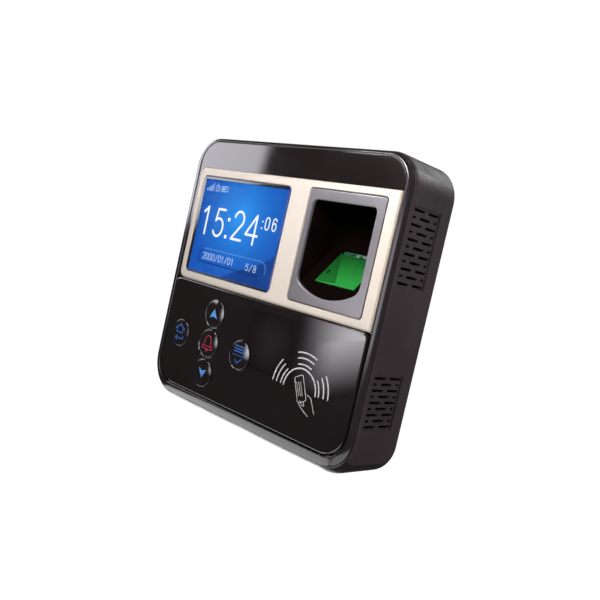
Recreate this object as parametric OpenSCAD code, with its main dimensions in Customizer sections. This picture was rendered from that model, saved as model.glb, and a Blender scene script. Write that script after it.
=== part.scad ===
// Wall-mounted fingerprint and card access terminal, about 113 x 110 x 27 mm.
// +X right and +Z up as a user faces it, +Y into the wall.
// Origin: centre of the wall plate's back face, which lies on the wall at y = 0.
// u is the distance behind the trim band's front face, so y = u - D.

/* [Case] */
// Overall width of the case
body_w = 112.6; // [112:0.1:114]
// Overall height of the case
body_h = 110; // [109.8:0.1:111]
// Corner radius of the case seen from the front
case_r = 12; // [11:0.5:13]
// Distance from the trim band's face to the wall
D = 26.4; // [26.4:0.1:27]
// Wall thickness of the rear cover
wall = 2.2; // [2:0.1:2.4]
// Depth of the seam between the front and rear covers
seam_u = 1.4; // [1.3:0.05:1.5]

/* [Screen and finger window] */
// Width of the screen lens
lens_w = 52; // [51:0.1:52]
// Height of the screen lens
lens_h = 40.15; // [39.5:0.05:40.15]
// Width of the finger window
win_w = 29; // [28:0.1:29]
// Height of the finger window's top edge
win_top = 35.4; // [35:0.1:35.6]
// Lowest point of the finger window's curved sill
win_low = 1.8; // [1.6:0.1:2]

/* [Keys] */
// Diameter of each key cap
key_d = 11; // [10.6:0.1:11.1]
// Running gap around each key cap
key_gap = 0.25; // [0.2:0.01:0.27]
// Height of the key dome above the trim band's face
key_proud = 0.6; // [0.4:0.05:0.6]

/* [Vents] */
// Height of one vent slot
slot_h = 0.9; // [0.7:0.05:1]
// Length of a long vent slot
slot_l = 6.2; // [5.8:0.1:6.2]

/* [Wall plate] */
// Thickness of the wall plate
plate_t = 1.2; // [1:0.1:1.2]
// Spacing of the four wall screws, both ways
plate_hole_s = 60; // [60:0.5:61]
// Diameter of the wall screw holes
plate_hole_d = 4.4; // [4:0.1:4.6]

/* [Hidden] */
$fn = 64;

hw = body_w/2;               // half width
hh = body_h/2;               // half height
rear_u = D - 0.4;            // rear edge of the case, just clear of the wall
floor0 = 22;                 // rear cover floor, inner face
floor1 = 24.2;               // rear cover floor, outer face
tray0 = 2.1;                 // front cover tray, front face
tray1 = 3.7;                 // front cover tray, rear face
rim_x = hw - 3.0;            // pocket for the panels, half width
rim_t = hh - 1.8;            // pocket top
rim_b = -(hh - 5.9);         // pocket bottom
band = [-51.5, 53.0, -4.5, 42.0];            // trim band: left, right, bottom, top
lens_c = [-22.8, 18.57];                     // screen centre
bez = [13.1, 47.8, -1.55, 39.2];             // finger bezel: left, right, bottom, top
win_c = 29.9;                                // finger window centre line
well = [14.2, 45.6, 0.6, 36.6];              // finger well outside: left, right, bottom, top
pr_x0 = 21.0; pr_x1 = 39.5;                  // prism ends
pr_a = [3.6, 6.9]; pr_t = [15.5, 19.4];      // prism touch face, lower and upper edge (u, z)
keys = [[-23.4, -15.2], [-23.4, -39.4], [-23.4, -27.3], [-42.4, -27.3], [-4.4, -27.2]]; // up, down, bell, home, menu
boss = [[-46.5, 46], [46.5, 46], [-46.5, -43.5], [46.5, -43.5]];
kb_boss = [[-36.5, -13.6], [-10.3, -41.2]];
mb_post = [[-46.5, 33.5], [8.5, 33.5], [-46.5, -33.5], [8.5, -33.5]];
ears = [[10.4, 31], [49.4, 31]];
win_cut = [-24, 4, -28, -4];                 // cable window: left, right, bottom, top
tamper = [-38, -20];
lock_u = 20;

// --- helpers -------------------------------------------------------------
// a 2D shape drawn in x and z, from depth u0 to u1
module slab(u0, u1) { translate([0, u1 - D, 0]) rotate([90, 0, 0]) linear_extrude(u1 - u0) children(); }
// a polygon given as [u, z] points, from x0 to x1
module alongx(x0, x1, pts) {
  translate([x0, 0, 0]) rotate([90, 0, 90]) linear_extrude(x1 - x0) polygon([for (p = pts) [p[0] - D, p[1]]]);
}
// cylinder along y between depths u0 and u1
module ycyl(u0, u1, x, z, r) { translate([x, u1 - D, z]) rotate([90, 0, 0]) cylinder(r = r, h = u1 - u0); }
// box by its limits, with depth as u
module ubox(x0, x1, u0, u1, z0, z1) { translate([x0, u0 - D, z0]) cube([x1 - x0, u1 - u0, z1 - z0]); }
// rectangle with round corners by its limits
module rlim(x0, x1, z0, z1, r) {
  union() {
    translate([x0 + r, z0]) square([x1 - x0 - 2*r, z1 - z0]);
    translate([x0, z0 + r]) square([x1 - x0, z1 - z0 - 2*r]);
    for (x = [x0 + r, x1 - r]) for (z = [z0 + r, z1 - r]) translate([x, z]) circle(r = r);
  }
}
// the same with different bottom and top corner radii
module rl2(x0, x1, z0, z1, rb, rt) {
  zm = (z0 + z1)/2;
  union() {
    translate([x0 + rb, z0]) square([x1 - x0 - 2*rb, zm - z0]);
    translate([x0, z0 + rb]) square([x1 - x0, zm - z0 - rb]);
    translate([x0 + rt, zm]) square([x1 - x0 - 2*rt, z1 - zm]);
    translate([x0, zm]) square([x1 - x0, z1 - rt - zm]);
    for (x = [x0 + rb, x1 - rb]) translate([x, z0 + rb]) circle(r = rb);
    for (x = [x0 + rt, x1 - rt]) translate([x, z1 - rt]) circle(r = rt);
  }
}
// thin slice used as one station of a lofted edge
module station(u, x, zb, zt, r) { slab(u, u + 0.02) rlim(-x, x, zb, zt, r, $fn = 48); }
// finger window outline: straight sides, small top corners, curved sill
module window2d(g) {
  r = 24.5;
  intersection() {
    rlim(win_c - win_w/2 - g, win_c + win_w/2 + g, win_low - g, win_top + g, 2 + g);
    union() {
      translate([win_c - win_w/2 - g - 1, win_low + r]) square([win_w + 2*g + 2, 40]);
      translate([win_c, win_low + r]) circle(r = r + g, $fn = 128);
    }
  }
}
// small polyline of an arc, for bent strips: centre, radius, start and end angle
function arc(c, r, a0, a1, n = 6) = [for (i = [0:n]) c + r*[cos(a0 + (a1 - a0)*i/n), sin(a0 + (a1 - a0)*i/n)]];

// --- covers ----------------------------------------------------------------
module front_cover() color([0.07, 0.06, 0.06]) difference() {
  union() {
    // glossy rim, rounded towards the seam and deepest at the chin
    hull() {
      station(0.4, hw - 1.9, -(hh - 5.4), hh - 1.1, case_r - 1);
      station(0.8, hw - 0.8, -(hh - 3.8), hh - 0.6, case_r - 0.4);
      station(seam_u - 0.02, hw - 0.2, -(hh - 2.4), hh - 0.4, case_r);
    }
    // tray that carries the panels, and its tongue inside the rear cover
    slab(seam_u - 0.1, tray1) rlim(-(hw - 2.5), hw - 2.5, -(hh - 4.6), hh - 1.4, case_r - 2.4);
    // screw bosses
    for (b = boss) ycyl(tray1 - 0.1, 12, b[0], b[1], 3.4);
    for (b = kb_boss) ycyl(tray1 - 0.1, 8.1, b[0], b[1], 2.6);
    for (b = ears) ycyl(tray1 - 0.1, 6, b[0], b[1], 2.4);
    // stiffening ribs above and below the screen
    ubox(-36, 36, tray1 - 0.1, 6.2, 43.6, 44.8);
    ubox(-38, 40, tray1 - 0.1, 6.2, -49.4, -48.2);
  }
  // pocket for the panels
  slab(-1, tray0) rlim(-rim_x, rim_x, rim_b, rim_t, case_r - 2.6);
  // screen aperture
  slab(0, tray1 + 1) rlim(-52.3, 6.7, -2.8, 40.8, 0.8);
  // finger well aperture
  slab(0, tray1 + 1) rlim(13.6, 46.2, 0, 37.2, 1);
  // key apertures
  slab(0, tray1 + 1) union() {
    rlim(-49.2, 2.4, -34.1, -20.5, 2);
    rlim(-30.2, -16.6, -46.6, -8.2, 2);
  }
  for (b = boss) ycyl(5, 13, b[0], b[1], 1.45);
  for (b = kb_boss) ycyl(5, 9, b[0], b[1], 1.05);
  for (b = ears) ycyl(tray1 + 0.2, 7, b[0], b[1], 0.95);
}

// rows of slots in one side wall: number of rows, top row, pitch, and side (+1 right, -1 left)
module vent_rows(n, ztop, pitch, side) {
  for (i = [0:n - 1]) {
    z = ztop - i*pitch;
    for (s = i % 2 == 0 ? [[4.2, slot_l], [12.5, slot_l]] : [[4.2, 2], [8.3, slot_l], [16.6, 2]])
      translate([side*(hw - wall/2) - wall, s[0] - D, z - slot_h/2]) cube([2*wall, s[1], slot_h]);
  }
}
module rear_cover() color([0.17, 0.14, 0.14]) difference() {
  union() {
    difference() {
      // outside, with the rounded leading edge and the chin fillet
      hull() {
        station(seam_u + 0.12, hw - 0.25, -(hh - 2.3), hh - 0.45, case_r);
        station(3, hw, -(hh - 0.8), hh - 0.05, case_r);
        station(5, hw, -hh, hh, case_r);
        station(rear_u - 0.5, hw, -hh, hh, case_r);
        station(rear_u - 0.02, hw - 0.4, -hh + 0.4, hh - 0.4, case_r - 0.4);
      }
      // main cavity and the wider cavity behind the chin
      slab(-1, 5.2) rlim(-(hw - wall), hw - wall, -(hh - 4.4), hh - 1.3, case_r - wall);
      slab(5, floor0) rlim(-(hw - wall), hw - wall, -(hh - wall), hh - wall, case_r - wall);
      // recess for the wall plate
      slab(floor1, D + 1) rlim(-(hw - 1.8), hw - 1.8, -(hh - 1.8), hh - 1.8, case_r - 1.8);
    }
    // screw columns
    for (b = boss) ycyl(12.1, floor0 + 0.1, b[0], b[1], 4.2);
    for (b = mb_post) ycyl(16, floor0 + 0.1, b[0], b[1], 2.8);
    // frame around the cable window
    slab(floor0 - 1.4, floor0 + 0.1) difference() {
      rlim(win_cut[0] - 1.6, win_cut[1] + 1.6, win_cut[2] - 1.6, win_cut[3] + 1.6, 1.6);
      rlim(win_cut[0], win_cut[1], win_cut[2], win_cut[3], 1);
    }
    // speaker ring
    slab(floor0 - 1.6, floor0 + 0.1) difference() {
      translate([-31, 19]) circle(r = 15.4);
      translate([-31, 19]) circle(r = 14.2);
    }
  }
  // screw holes and counterbores
  for (b = boss) { ycyl(11, 25, b[0], b[1], 1.5); ycyl(19, 25, b[0], b[1], 2.95); }
  for (b = mb_post) ycyl(15, 21, b[0], b[1], 1.05);
  // cable window
  slab(20, 26) rlim(win_cut[0], win_cut[1], win_cut[2], win_cut[3], 1);
  // clearance pockets over the wall screw heads
  for (x = [-1, 1]) for (z = [-1, 1]) ycyl(floor1 - 1.2, floor1 + 1, x*plate_hole_s/2, z*plate_hole_s/2, 5);
  // slots for the plate's hooks
  for (x = [-30, 30]) ubox(x - 6, x + 6, 21, 25, 32.8, 39.25);
  // notch and hole for the locking tab and its screw
  ubox(-7, 7, floor0 - 6, 25, -(hh - wall), -48.2);
  translate([0, lock_u - D, -hh - 1]) cylinder(r = 1.7, h = 6);
  translate([0, lock_u - D, -hh - 1]) cylinder(r = 3, h = 1.9);
  // hole for the tamper plunger
  ycyl(20, 26, tamper[0], tamper[1], 1.8);
  // shallow pocket and slots of each vent
  for (side = [-1, 1]) {
    translate([side*(hw + 1 - 0.3) - 1, 3.4 - D, 12.0]) cube([2, 15.9, 26.4]);
    translate([side*(hw + 1 - 0.3) - 1, 3.4 - D, -36.6]) cube([2, 15.9, 18.7]);
    vent_rows(11, 37.2, 2.43, side);
    vent_rows(9, -18.95, 2.075, side);
  }
}

// --- front panels ------------------------------------------------------------
module upper_panel() color([0.10, 0.08, 0.08]) difference() {
  slab(0.5, 2.0) rlim(-(rim_x - 0.3), rim_x - 0.3, -4.5, rim_t - 0.3, case_r - 2.9);
  // seat for the trim band
  slab(-1, 1.25) union() {
    rlim(band[0] - 0.1, 40, band[2] - 1, band[3] + 0.1, 3.1);
    translate([0, band[2] - 10]) square([hw, band[3] + 0.1 - band[2] + 10]);
    translate([band[0] - 0.1, band[2] - 1]) square([20, 10]);
  }
  // screen and finger apertures
  slab(0, 3) rlim(-50.0, 4.4, -2.3, 39.4, 0.6);
  slab(0, 3) rlim(13.9, 45.9, 0.3, 36.9, 1);
}
// station of the pillowed panel: depth, insets from the pocket's sides, bottom and top, corner radii
module pstation(u, ix, ib, it, rb, rt) {
  slab(u, u + 0.02) rl2(-rim_x + ix, rim_x - ix, rim_b + 0.2 + ib, -4.6 - it, rb, rt, $fn = 48);
}
module keypad_panel() color([0.09, 0.08, 0.08]) difference() {
  hull() {
    pstation(0.05, 9.5, 8.6, 7.6, 5, 4);
    pstation(0.15, 5, 4.4, 3, 7, 4);
    pstation(0.45, 1.7, 1.2, 0.6, 8.6, 2.6);
    pstation(1.0, 1.0, 0.4, 0.15, 9, 2.2);
    pstation(1.98, 0.8, 0.2, 0.1, 9, 2.2);
  }
  for (k = keys) ycyl(-1, 3, k[0], k[1], key_d/2 + key_gap);
}
module trim_band() color([0.88, 0.82, 0.72]) difference() {
  slab(0, 1.2) union() {
    rlim(band[0], 30, band[2], band[3], 3);
    rlim(-20, band[1], band[2], band[3], 0.6);
  }
  slab(-1, 2) translate(lens_c) rlim(-lens_w/2 - 0.15, lens_w/2 + 0.15, -lens_h/2 - 0.15, lens_h/2 + 0.15, 2.1);
  slab(-1, 2) rlim(bez[0] - 0.45, bez[1] + 0.45, bez[2] - 0.3, bez[3] + 0.3, 1.4);
}

// --- screen ------------------------------------------------------------------
module lcd_lens() color([0.25, 0.45, 0.85, 0.6]) slab(0.15, 1.15) translate(lens_c) rlim(-lens_w/2, lens_w/2, -lens_h/2, lens_h/2, 2);
module lcd_panel() color([0.10, 0.35, 0.75]) slab(1.3, 2.6) rlim(-49.7, 4.1, -2.0, 39.1, 0.4);
module lcd_backlight() color([0.75, 0.76, 0.78]) difference() {
  slab(2.6, 4.8) rlim(-52.1, 6.5, -2.6, 40.6, 0.6);
  slab(4.4, 5) rlim(-48, 2, 2, 36, 2);
}
module lcd_flex() color([0.80, 0.52, 0.15])
  alongx(-32, -14, concat([[4.8, 1.6]], arc([6, -4.2], 1.2, 180, 270), [[12.6, -5.4], [12.6, -5.25]],
    arc([6, -4.2], 1.05, 270, 180), [[4.95, 1.6]]));

// --- finger sensor -------------------------------------------------------------
module fp_bezel() color([0.72, 0.71, 0.70]) difference() {
  slab(0.1, 1.25) rlim(bez[0], bez[1], bez[2], bez[3], 1.2);
  slab(-1, 2) window2d(0);
}
module finger_well() color([0.10, 0.08, 0.08]) difference() {
  union() {
    slab(1.3, 17) rlim(well[0], well[1], well[2], well[3], 1.5);
    for (e = ears) slab(6, 8) union() {
      translate(e) circle(r = 2.4);
      translate([e[0] < 30 ? e[0] : well[1] - 1, e[1] - 2.4]) square([e[0] < 30 ? well[0] + 1 - e[0] : e[0] - well[1] + 1, 4.8]);
    }
  }
  // hollow that the finger goes into, with the sloping sill
  intersection() {
    slab(0, 16) window2d(0);
    alongx(0, 60, concat([[0, win_low - 2], [1.3, win_low - 0.4], pr_a, pr_t, [15.6, 20]],
      arc([11.6, 31.4], 4, 0, 90, 8), [[0, win_top]]));
  }
  // seat of the prism, the light path under it and the lamp board behind it
  alongx(pr_x0 - 0.1, pr_x1 + 0.1, [[3.5, 6.8], [3.4, 7.2], [15.6, 20], [17.1, 20], [17.1, 6.8]]);
  ubox(22.6, 37.9, 5, 15, 0, 7);
  for (e = ears) ycyl(5, 9, e[0], e[1], 1.25);
}
module prism() color([0.25, 0.80, 0.35, 0.8]) alongx(pr_x0, pr_x1, [pr_a, pr_t, [pr_t[0], pr_a[1]]]);
module sensor_housing() color([0.12, 0.12, 0.13]) difference() {
  ubox(17, 44, 5.2, 17, -17, 0.5);
  ubox(19, 42, 6.6, 15.6, -15.6, -1.2);
  ubox(22.6, 37.9, 6.6, 15, -2, 1);
  ubox(19, 42, 6.6, 15.6, -18, -14.9);
  ubox(16, 20, 7.8, 11.2, -15.1, -14.3);
}
module sensor_led_board() color([0.10, 0.42, 0.20]) union() {
  ubox(21.2, 39.3, 16.1, 17, 7.2, 19.6);
  for (x = [24, 28.1, 32.3, 36.4]) ubox(x - 0.8, x + 0.8, 15.6, 16.1, 12.2, 13.8);
}
module sensor_lens() color([0.15, 0.15, 0.17]) translate([30.2, 11 - D, -12.8]) union() {
  translate([-5, -4, 0]) cube([10, 8, 2.4]);
  translate([0, 0, 2.4]) cylinder(r = 3.6, h = 4.2);
}
module sensor_board() color([0.10, 0.42, 0.20]) union() {
  ubox(19.2, 41.8, 6.8, 15.4, -14.6, -13.4);
  ubox(27.2, 33.2, 8, 14, -13.4, -12.8);
}
module sensor_flex() color([0.80, 0.52, 0.15]) union() {
  ubox(3.4, 30, 8, 11, -14.75, -14.6);
  ubox(3.4, 11, 10.9, 12.6, -14.75, -14.6);
}

// --- keys ----------------------------------------------------------------------
module key(i) {
  x = keys[i][0]; z = keys[i][1]; sr = 30;
  union() {
    intersection() {
      ycyl(-key_proud - 0.1, 2.2, x, z, key_d/2);
      translate([x, -key_proud + sr - D, z]) sphere(r = sr, $fn = 128);
    }
    ycyl(2.15, 2.9, x, z, 5.95);
    ycyl(2.8, 4.4, x, z, 2);
  }
}
module key_up() color([0.12, 0.10, 0.11]) key(0);
module key_down() color([0.12, 0.10, 0.11]) key(1);
module key_bell() color([0.12, 0.10, 0.11]) key(2);
module key_home() color([0.12, 0.10, 0.11]) key(3);
module key_menu() color([0.12, 0.10, 0.11]) key(4);
module key_mat() color([0.55, 0.55, 0.56]) difference() {
  union() {
    slab(7, 8) rlim(-50, 3.4, -47.4, -8.6, 2);
    for (k = keys) translate([k[0], 7.2 - D, k[1]]) rotate([90, 0, 0]) cylinder(r1 = 4.4, r2 = 2.6, h = 2.2);
  }
  for (k = keys) ycyl(6.2, 9, k[0], k[1], 1.9);
  for (b = kb_boss) ycyl(4, 9, b[0], b[1], 3);
  ubox(-51, -41.8, 4, 9, -48, -38.9);
}
module keypad_board() color([0.08, 0.35, 0.18]) difference() {
  slab(8.15, 9.15) rlim(-50, 3.4, -47.4, -8.6, 1);
  for (b = kb_boss) ycyl(7, 10, b[0], b[1], 1.2);
  ubox(-51, -41.8, 4, 14, -48, -38.9);
}
module keypad_leds() color([0.9, 0.9, 0.8]) for (k = keys) ubox(k[0] - 0.8, k[0] + 0.8, 7.4, 8.15, k[1] - 0.8, k[1] + 0.8);

// --- electronics ---------------------------------------------------------------
module stacking_header() color([0.08, 0.08, 0.08]) ubox(-34, -14, 9.15, 14.4, -37, -34.4);
module main_board() color([0.08, 0.35, 0.18]) difference() {
  slab(14.4, 16) rlim(-50, 12, -38, 38, 1.5);
  for (b = mb_post) ycyl(13, 17, b[0], b[1], 1.3);
}
module processor() color([0.13, 0.13, 0.14]) slab(13.2, 14.4) rlim(-24, -8, 5, 21, 0.4);
module memory_chips() color([0.13, 0.13, 0.14]) for (x = [-40, -4]) slab(13.2, 14.4) rlim(x, x + 10, 3, 17, 0.3);
module power_inductors() color([0.25, 0.25, 0.26]) for (z = [20, 29.6]) slab(10.6, 14.4) rlim(-4, 4, z, z + 8, 1.6);
module capacitors() color([0.75, 0.76, 0.78]) for (p = [[-44, 25], [-44, 17.6], [-15, 33]]) ycyl(6.8, 14.4, p[0], p[1], 3.15);
module lock_relay() color([0.15, 0.30, 0.60]) slab(6.6, 14.4) rlim(-36, -21, 25, 35, 0.5);
module buzzer() color([0.10, 0.10, 0.10]) difference() { ycyl(9.6, 14.4, 6, -24, 4.4); ycyl(9, 11, 6, -24, 1); }
module cell_holder() color([0.16, 0.16, 0.17]) difference() {
  slab(10.6, 14.4) rlim(-46, -30, -24, -8, 1);
  ycyl(9, 13.6, -38, -16, 6.4);
}
module coin_cell() color([0.80, 0.81, 0.83]) ycyl(11.5, 13.5, -38, -16, 6.25);
module flex_connectors() color([0.85, 0.83, 0.75]) union() {
  slab(12.6, 14.4) difference() { rlim(-33, -13, -7.4, -3.4, 0.2); }
  slab(12.6, 14.4) rlim(2.8, 11.6, -16.4, -13, 0.2);
}
module speaker_frame() color([0.55, 0.56, 0.58]) translate([-31, 0, 19]) union() {
  difference() {
    slab(19.6, 21.9) circle(r = 14);
    slab(20.2, 22.5) circle(r = 12.6);
  }
  slab(16.7, 19.7) circle(r = 7.5);
}
module speaker_cone() color([0.12, 0.12, 0.13]) translate([-31, 21.7 - D, 19]) rotate([90, 0, 0])
  rotate_extrude($fn = 96) polygon([[0, 0.9], [4, 0.9], [11, 0], [12.4, 0], [12.4, 0.3], [11.2, 0.35], [4.2, 1.3], [0, 1.3]]);
module wall_headers() color([0.93, 0.92, 0.88]) for (h = [[-9, 20], [-16, 24], [-23, 16]]) difference() {
  ubox(-10 - h[1]/2, -10 + h[1]/2, 16, 21.6, h[0] - 2.6, h[0] + 2.6);
  ubox(-10 - h[1]/2 + 0.8, -10 + h[1]/2 - 0.8, 18, 22, h[0] - 1.8, h[0] + 1.8);
}
module antenna_board() color([0.08, 0.35, 0.18]) slab(4.25, 5.05) rlim(13, 42.4, -46, -18, 1);
module antenna_coil() color([0.75, 0.42, 0.18]) slab(3.75, 4.25) difference() {
  rlim(14, 41.4, -45, -19, 4);
  rlim(17.4, 38, -41.6, -22.4, 2);
}
module tamper_switch() color([0.10, 0.10, 0.10]) difference() {
  ubox(tamper[0] - 3, tamper[0] + 3, 16, 20, tamper[1] - 3, tamper[1] + 3);
  ycyl(17, 21, tamper[0], tamper[1], 1.3);
}
module tamper_plunger() color([0.85, 0.85, 0.86]) union() {
  ycyl(18.6, 21, tamper[0], tamper[1], 1.25);
  ycyl(20.9, D - plate_t - 0.08, tamper[0], tamper[1], 1.6);
}

// --- mounting and fasteners ------------------------------------------------------
module wall_plate() color([0.70, 0.72, 0.74]) difference() {
  union() {
    slab(D - plate_t, D) union() {
      rlim(-46, 46, -44, 44, 6);
      rlim(-6, 6, -50.4, -40, 1);
    }
    // hooks at the top, bent forward and up
    for (x = [-30, 30]) {
      ubox(x - 5, x + 5, 20.7, D - plate_t + 0.1, 38, 39.2);
      ubox(x - 5, x + 5, 20.7, 21.9, 38, 43);
    }
    // locking tab at the bottom, bent forward
    ubox(-6, 6, 16.6, D - plate_t + 0.1, -50.4, -49.2);
  }
  slab(D - 3, D + 1) rlim(win_cut[0], win_cut[1], win_cut[2], win_cut[3], 3);
  for (x = [-1, 1]) for (z = [-1, 1]) ycyl(D - 3, D + 1, x*plate_hole_s/2, z*plate_hole_s/2, plate_hole_d/2);
  translate([0, lock_u - D, -52]) cylinder(r = 1.5, h = 4);
}
module housing_screws() color([0.60, 0.61, 0.63]) for (b = boss) union() {
  ycyl(6.4, 19.1, b[0], b[1], 1.4);
  difference() { ycyl(19, 21, b[0], b[1], 2.7); ycyl(20, 22, b[0], b[1], 1.1, $fn = 6); }
}
module board_screws() color([0.60, 0.61, 0.63]) union() {
  for (b = mb_post) { ycyl(14.3, 20.5, b[0], b[1], 1); ycyl(13, 14.4, b[0], b[1], 2); }
  for (b = kb_boss) { ycyl(5.4, 9.2, b[0], b[1], 1); ycyl(9.15, 10.3, b[0], b[1], 2); }
}
module sensor_screws() color([0.60, 0.61, 0.63]) for (e = ears) union() {
  ycyl(4.2, 8.1, e[0], e[1], 0.9);
  ycyl(8, 9.4, e[0], e[1], 1.8);
}
module lock_screw() color([0.60, 0.61, 0.63]) translate([0, lock_u - D, 0]) union() {
  translate([0, 0, -54.2]) cylinder(r = 1.45, h = 7.2);
  difference() {
    translate([0, 0, -54.9]) cylinder(r = 2.7, h = 0.75);
    translate([0, 0, -55]) cylinder(r = 1, h = 0.5, $fn = 6);
  }
}

front_cover();
rear_cover();
upper_panel();
keypad_panel();
trim_band();
lcd_lens();
lcd_panel();
lcd_backlight();
lcd_flex();
fp_bezel();
finger_well();
prism();
sensor_housing();
sensor_led_board();
sensor_lens();
sensor_board();
sensor_flex();
key_up();
key_down();
key_bell();
key_home();
key_menu();
key_mat();
keypad_board();
keypad_leds();
stacking_header();
main_board();
processor();
memory_chips();
power_inductors();
capacitors();
lock_relay();
buzzer();
cell_holder();
coin_cell();
flex_connectors();
speaker_frame();
speaker_cone();
wall_headers();
antenna_board();
antenna_coil();
tamper_switch();
tamper_plunger();
wall_plate();
housing_screws();
board_screws();
sensor_screws();
lock_screw();
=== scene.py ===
import bpy, bmesh, math
import numpy as np
from mathutils import Vector, Matrix
from mathutils.bvhtree import BVHTree


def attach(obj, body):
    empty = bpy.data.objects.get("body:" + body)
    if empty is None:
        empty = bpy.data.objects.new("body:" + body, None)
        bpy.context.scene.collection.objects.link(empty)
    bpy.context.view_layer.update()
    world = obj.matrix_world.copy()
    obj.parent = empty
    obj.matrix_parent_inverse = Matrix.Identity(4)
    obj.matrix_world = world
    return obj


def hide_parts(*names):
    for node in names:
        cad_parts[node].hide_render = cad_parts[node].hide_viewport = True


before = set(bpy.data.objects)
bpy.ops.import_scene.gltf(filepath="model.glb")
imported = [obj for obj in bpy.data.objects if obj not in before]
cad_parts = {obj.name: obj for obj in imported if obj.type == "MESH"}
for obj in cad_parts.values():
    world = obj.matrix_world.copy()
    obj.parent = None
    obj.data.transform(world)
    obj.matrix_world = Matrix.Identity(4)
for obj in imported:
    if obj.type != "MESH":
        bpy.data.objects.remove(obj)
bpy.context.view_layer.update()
MM = 0.001
D = 26.4          # depth u runs from the trim band's face; y = u - D
HW, HH = 56.3, 55.0
scene = bpy.context.scene


def W(x, u, z):
    return (x * MM, (u - D) * MM, z * MM)


# ---------------------------------------------------------------- camera
r0 = Vector((0.7042571587, 0.6747800452, 0.2206665923))
r1 = Vector((0.2000908198, 0.1095655385, -0.9736318897))
r2 = Vector((-0.6811648246, 0.7298405876, -0.0578549777))
cam_data = bpy.data.cameras.new("camera")
cam_data.lens, cam_data.sensor_width, cam_data.clip_start = 42.4354, 36.0, 0.005
cam = bpy.data.objects.new("camera", cam_data)
scene.collection.objects.link(cam)
cam.matrix_world = Matrix.Translation((0.190366, -0.209160, 0.013795)) @ Matrix(
    ((r0.x, -r1.x, -r2.x), (r0.y, -r1.y, -r2.y), (r0.z, -r1.z, -r2.z))).to_4x4()
scene.camera = cam


# ---------------------------------------------------------------- materials
def new_mat(name):
    m = bpy.data.materials.new(name)
    m.use_nodes = True
    nt = m.node_tree
    nt.nodes.clear()
    out = nt.nodes.new("ShaderNodeOutputMaterial")
    b = nt.nodes.new("ShaderNodeBsdfPrincipled")
    nt.links.new(b.outputs[0], out.inputs[0])
    tc = nt.nodes.new("ShaderNodeTexCoord")
    return m, nt, b, tc


def ramp(nt, src, stops):
    r = nt.nodes.new("ShaderNodeValToRGB")
    while len(r.color_ramp.elements) < len(stops):
        r.color_ramp.elements.new(0.5)
    for e, (p, c) in zip(r.color_ramp.elements, stops):
        e.position = p
        e.color = (*c, 1.0)
    nt.links.new(src, r.inputs[0])
    return r.outputs[0]


def noise(nt, tc, scale, detail=3.0, rough=0.55, stretch=None):
    n = nt.nodes.new("ShaderNodeTexNoise")
    n.inputs["Scale"].default_value = scale
    n.inputs["Detail"].default_value = detail
    n.inputs["Roughness"].default_value = rough
    if stretch:
        mp = nt.nodes.new("ShaderNodeMapping")
        mp.inputs["Scale"].default_value = stretch
        nt.links.new(tc.outputs["Object"], mp.inputs[0])
        nt.links.new(mp.outputs[0], n.inputs["Vector"])
    else:
        nt.links.new(tc.outputs["Object"], n.inputs["Vector"])
    return n.outputs["Fac"]


def remap(nt, src, lo, hi):
    r = nt.nodes.new("ShaderNodeMapRange")
    r.inputs["From Min"].default_value, r.inputs["From Max"].default_value = 0.3, 0.7
    r.inputs["To Min"].default_value, r.inputs["To Max"].default_value = lo, hi
    nt.links.new(src, r.inputs["Value"])
    return r.outputs[0]


def bump(nt, b, src, strength, dist_mm):
    n = nt.nodes.new("ShaderNodeBump")
    n.inputs["Strength"].default_value = strength
    n.inputs["Distance"].default_value = dist_mm * MM
    nt.links.new(src, n.inputs["Height"])
    nt.links.new(n.outputs[0], b.inputs["Normal"])


def surface(name, c1, c2, rough=(0.3, 0.4), metal=0.0, vary=60.0, grain=None, spec=0.5, coat=0.0, stretch=None, ior=1.5, emit=0.0):
    """colour drifts from c1 to c2, roughness drifts over its range, and grain = (scale, strength, mm, kind)"""
    m, nt, b, tc = new_mat(name)
    f = noise(nt, tc, vary, 4.0, stretch=stretch)
    col = ramp(nt, f, [(0.35, c1), (0.65, c2)])
    nt.links.new(col, b.inputs["Base Color"])
    nt.links.new(remap(nt, noise(nt, tc, vary * 2.7, 3.0), *rough), b.inputs["Roughness"])
    b.inputs["Metallic"].default_value = metal
    b.inputs["Specular IOR Level"].default_value = spec
    b.inputs["IOR"].default_value = ior
    b.inputs["Coat Weight"].default_value = coat
    if emit:
        nt.links.new(col, b.inputs["Emission Color"])
        b.inputs["Emission Strength"].default_value = emit
    if grain:
        scale, strength, mm, kind = grain
        if kind == "cell":
            v = nt.nodes.new("ShaderNodeTexVoronoi")
            v.feature = "SMOOTH_F1"
            v.inputs["Scale"].default_value = scale
            nt.links.new(tc.outputs["Object"], v.inputs["Vector"])
            add = nt.nodes.new("ShaderNodeMath")
            add.operation = "ADD"
            nt.links.new(v.outputs["Distance"], add.inputs[0])
            nt.links.new(noise(nt, tc, scale * 0.45, 3.0), add.inputs[1])
            bump(nt, b, add.outputs[0], strength, mm)
        else:
            bump(nt, b, noise(nt, tc, scale, 3.0, stretch=stretch), strength, mm)
    return m


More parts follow.
